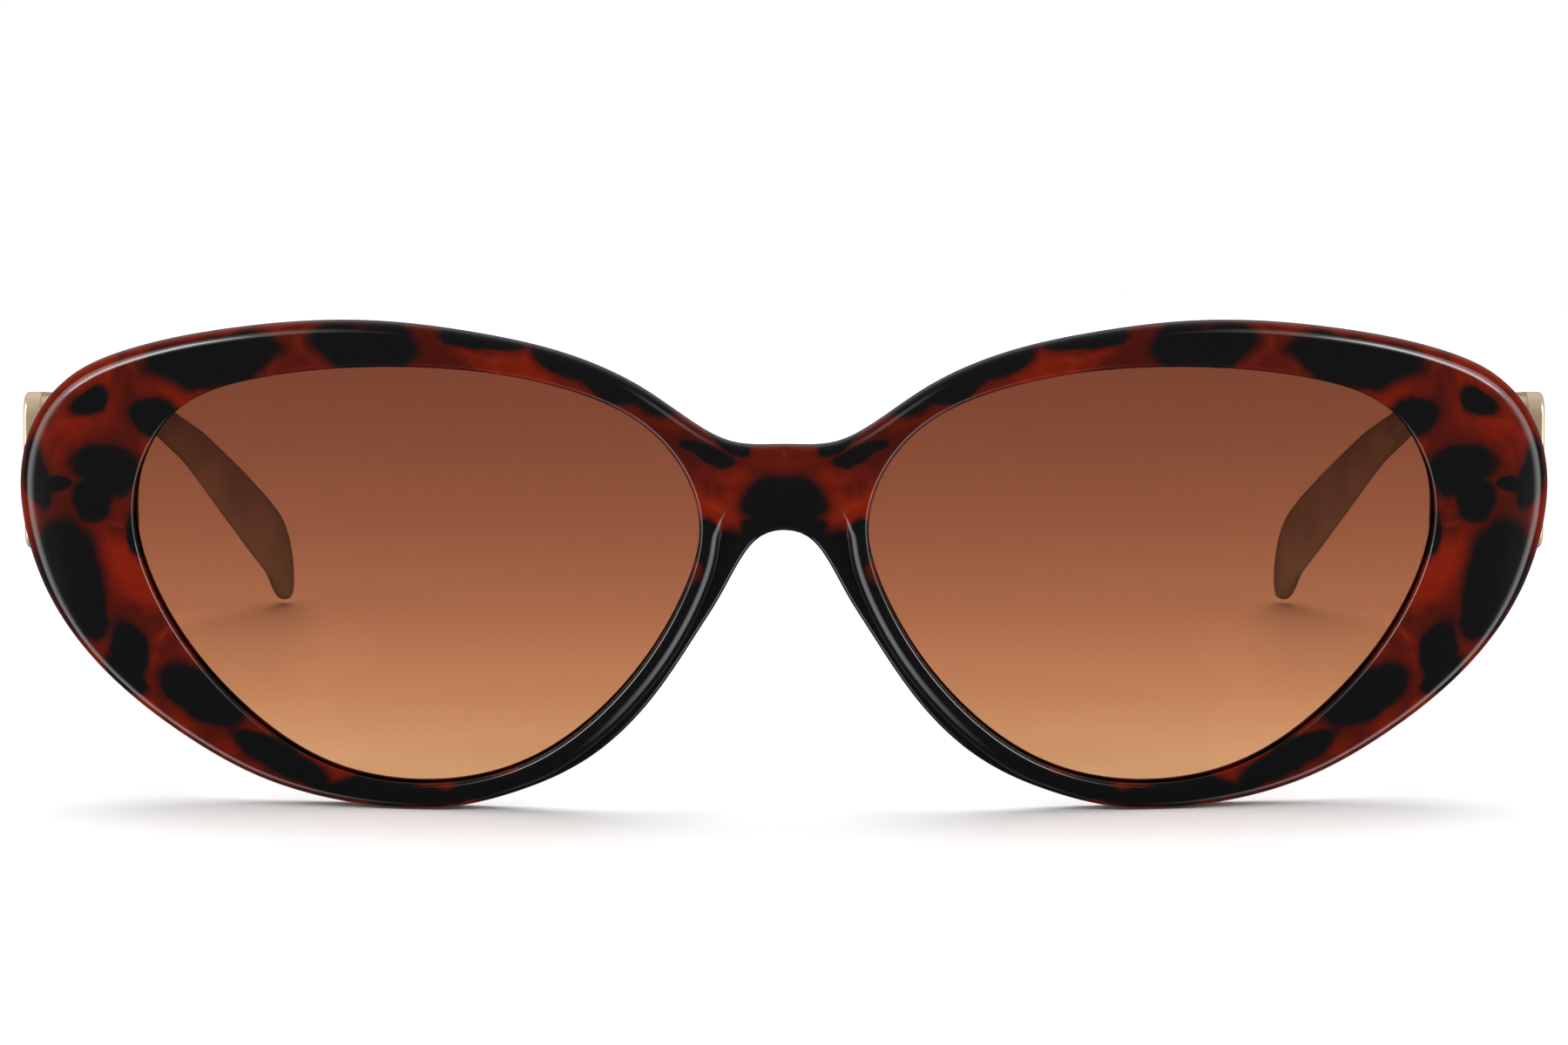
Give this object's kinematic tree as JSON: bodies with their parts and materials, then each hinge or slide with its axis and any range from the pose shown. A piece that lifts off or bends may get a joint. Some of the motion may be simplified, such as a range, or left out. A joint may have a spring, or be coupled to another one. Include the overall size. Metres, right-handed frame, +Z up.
{
  "type": "cat eye sunglasses",
  "caption": "Cat eye sunglasses with a curved tortoiseshell front, gradient lenses, side plaques on slim metal temples that fold inwards, and plastic ear tips.",
  "frame": {"origin": "bottom centre of the open glasses, on the surface that the rims and the temple tips stand on", "axes": "+Z up, -Y the way the front faces, +X towards the wearer's left"},
  "size_m": [0.1466, 0.1498, 0.046],
  "materials": {
    "tortoise": "polished",
    "lens_tint": "polished, graded brown tint",
    "hinge_steel": "satin",
    "gold_metal": "polished",
    "dark_tip": "polished"
  },
  "bodies": {
    "front": {"front": "tortoise", "lens_right": "lens_tint", "lens_left": "lens_tint", "nose_pad_right": "tortoise", "nose_pad_left": "tortoise", "front_hinge_right": "hinge_steel", "front_hinge_left": "hinge_steel", "hinge_rivets_right": "hinge_steel", "hinge_rivets_left": "hinge_steel", "hinge_screw_right": "hinge_steel", "hinge_screw_left": "hinge_steel", "hinge_washers_right": "hinge_steel", "hinge_washers_left": "hinge_steel"},
    "temple_right": {"temple_hinge_right": "hinge_steel", "temple_rivets_right": "hinge_steel", "temple_arm_right": "gold_metal", "temple_plaque_right": "gold_metal", "plaque_rivets_right": "gold_metal", "trim_bar_right": "gold_metal", "temple_tip_right": "dark_tip"},
    "temple_left": {"temple_hinge_left": "hinge_steel", "temple_rivets_left": "hinge_steel", "temple_arm_left": "gold_metal", "temple_plaque_left": "gold_metal", "plaque_rivets_left": "gold_metal", "trim_bar_left": "gold_metal", "temple_tip_left": "dark_tip"}
  },
  "joints": [
    {"name": "hinge_right", "type": "hinge", "parent": "front", "child": "temple_right", "pos_m": [-0.0673, -0.05633, 0.031], "axis": [0, 0, -1], "range_deg": [0, 86]},
    {"name": "hinge_left", "type": "hinge", "parent": "front", "child": "temple_left", "pos_m": [0.0673, -0.05633, 0.031], "axis": [0, 0, 1], "range_deg": [0, 80]}
  ]
}
